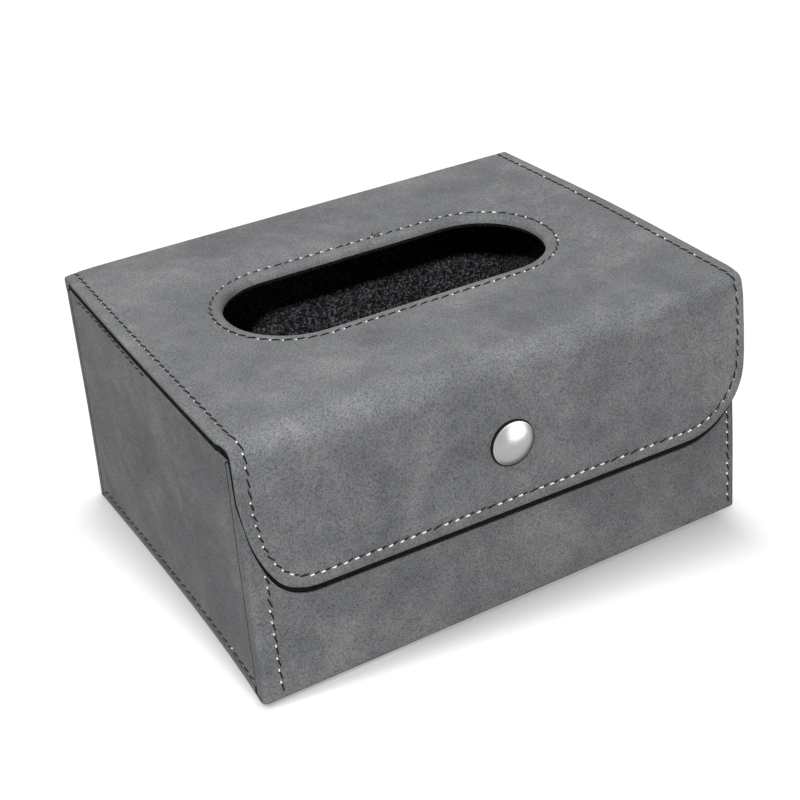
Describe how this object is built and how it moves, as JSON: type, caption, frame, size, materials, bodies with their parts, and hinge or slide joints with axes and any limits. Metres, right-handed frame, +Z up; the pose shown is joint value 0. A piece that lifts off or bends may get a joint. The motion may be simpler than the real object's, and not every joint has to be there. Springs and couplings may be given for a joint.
{
  "type": "car tissue holder",
  "caption": "Rectangular nubuck-covered tissue box with a rear-hinged lid, a stadium dispensing slot and a front flap closed by a domed magnetic button.",
  "frame": {"origin": "middle of the base's underside, where the box stands", "axes": "+X to the right along the width, +Y from the flap to the rear hinge, +Z up"},
  "size_m": [0.196, 0.1533, 0.096],
  "materials": {
    "grey_nubuck": "matte nubuck with fine grain, cloudy mottling and turned, stitched edges",
    "stiffener_board": "plain pressed sheet, hidden between leather and felt",
    "black_felt": "short-pile black felt with pale flecks",
    "satin_nickel": "satin nickel plate",
    "plated_steel": "nickel-plated steel",
    "magnet": "plain dark magnet"
  },
  "bodies": {
    "root": {"base_cover": "grey_nubuck", "base_board": "stiffener_board", "base_lining": "black_felt", "front_cover": "grey_nubuck", "front_board": "stiffener_board", "front_lining": "black_felt", "rear_cover": "grey_nubuck", "rear_board": "stiffener_board", "rear_lining": "black_felt", "left_cover": "grey_nubuck", "left_board": "stiffener_board", "left_lining": "black_felt", "right_cover": "grey_nubuck", "right_board": "stiffener_board", "right_lining": "black_felt", "catch_plate": "plated_steel", "catch_washer": "plated_steel"},
    "lid": {"lid_cover": "grey_nubuck", "lid_board": "stiffener_board", "lid_lining": "black_felt"},
    "flap": {"flap_cover": "grey_nubuck", "flap_board": "stiffener_board", "flap_lining": "black_felt", "button_cap": "satin_nickel", "button_rivet": "plated_steel", "magnet_case": "plated_steel", "flap_magnet": "magnet"}
  },
  "joints": [
    {"name": "lid_hinge", "type": "hinge", "parent": "root", "child": "lid", "pos_m": [0, 0.07077, 0.09527], "axis": [-1, 0, 0], "range_deg": [0, 160]},
    {"name": "flap_hinge", "type": "hinge", "parent": "lid", "child": "flap", "pos_m": [0, -0.07462, 0.09322], "axis": [-1, 0, 0], "range_deg": [0, 90]}
  ]
}
